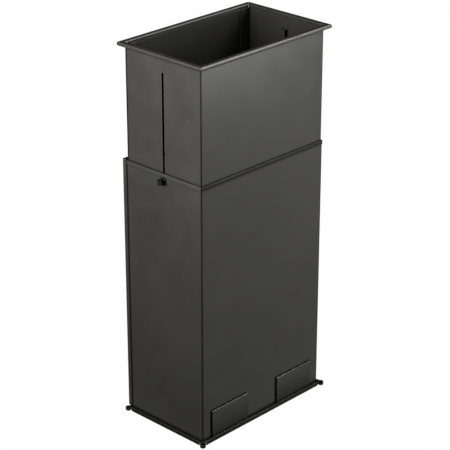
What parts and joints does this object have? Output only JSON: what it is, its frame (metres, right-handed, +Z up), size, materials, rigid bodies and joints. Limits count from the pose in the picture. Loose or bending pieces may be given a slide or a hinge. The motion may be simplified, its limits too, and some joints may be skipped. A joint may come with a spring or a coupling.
{
  "type": "telescoping trash compactor bin",
  "caption": "Tall rectangular sheet-metal compactor bin: a rimmed upper sleeve slides in a lower shell on a footed tray and is clamped by a knob at each end.",
  "frame": {"origin": "on the floor, under the middle of the bin", "axes": "+Z up, +X along the long side towards the right end as seen from the front, +Y towards the rear panel"},
  "size_m": [0.435, 0.269, 0.942],
  "materials": {
    "powder_coat": "satin",
    "foot_rubber": "matte",
    "zinc_steel": "zinc plated",
    "knob_plastic": "matte"
  },
  "bodies": {
    "housing": {"base_tray": "powder_coat", "tab_left": "powder_coat", "tab_right": "powder_coat", "rear_panel": "powder_coat", "lower_shell": "powder_coat", "foot_front_left": "foot_rubber", "foot_front_right": "foot_rubber", "foot_rear_left": "foot_rubber", "foot_rear_right": "foot_rubber", "foot_screw_front_left": "zinc_steel", "foot_screw_front_right": "zinc_steel", "foot_screw_rear_left": "zinc_steel", "foot_screw_rear_right": "zinc_steel", "rear_screw_1": "zinc_steel", "rear_screw_2": "zinc_steel", "rear_screw_3": "zinc_steel", "rear_nut_1": "zinc_steel", "rear_nut_2": "zinc_steel", "rear_nut_3": "zinc_steel", "washer_left": "zinc_steel", "washer_right": "zinc_steel", "clamp_nut_left": "zinc_steel", "clamp_nut_right": "zinc_steel"},
    "sleeve": {"upper_shell": "powder_coat", "upper_back_panel": "powder_coat", "rim_front": "powder_coat", "rim_right": "powder_coat", "rim_back": "powder_coat", "rim_left": "powder_coat", "guide_channel_left": "powder_coat", "guide_channel_right": "powder_coat"},
    "left_stud": {"stud_left": "zinc_steel"},
    "right_stud": {"stud_right": "zinc_steel"},
    "left_knob": {"knob_left": "knob_plastic"},
    "right_knob": {"knob_right": "knob_plastic"}
  },
  "joints": [
    {"name": "sleeve_slide", "type": "slide", "parent": "housing", "child": "sleeve", "axis": [0, 0, 1], "range_m": [-0.253, 0.057]},
    {"name": "left_stud_travel", "type": "slide", "parent": "housing", "child": "left_stud", "axis": [-1, 0, 0], "range_m": [0, 0.0015]},
    {"name": "right_stud_travel", "type": "slide", "parent": "housing", "child": "right_stud", "axis": [1, 0, 0], "range_m": [0, 0.0015]},
    {"name": "left_knob_turn", "type": "hinge", "parent": "left_stud", "child": "left_knob", "pos_m": [-0.2033, 0, 0.64], "axis": [-1, 0, 0], "range_deg": [0, 540]},
    {"name": "right_knob_turn", "type": "hinge", "parent": "right_stud", "child": "right_knob", "pos_m": [0.2033, 0, 0.64], "axis": [1, 0, 0], "range_deg": [0, 540]}
  ],
  "couplings": [
    {"joint": "left_stud_travel", "follows": "left_knob_turn", "m_per_rad": 0.00015915},
    {"joint": "right_stud_travel", "follows": "right_knob_turn", "m_per_rad": 0.00015915}
  ]
}
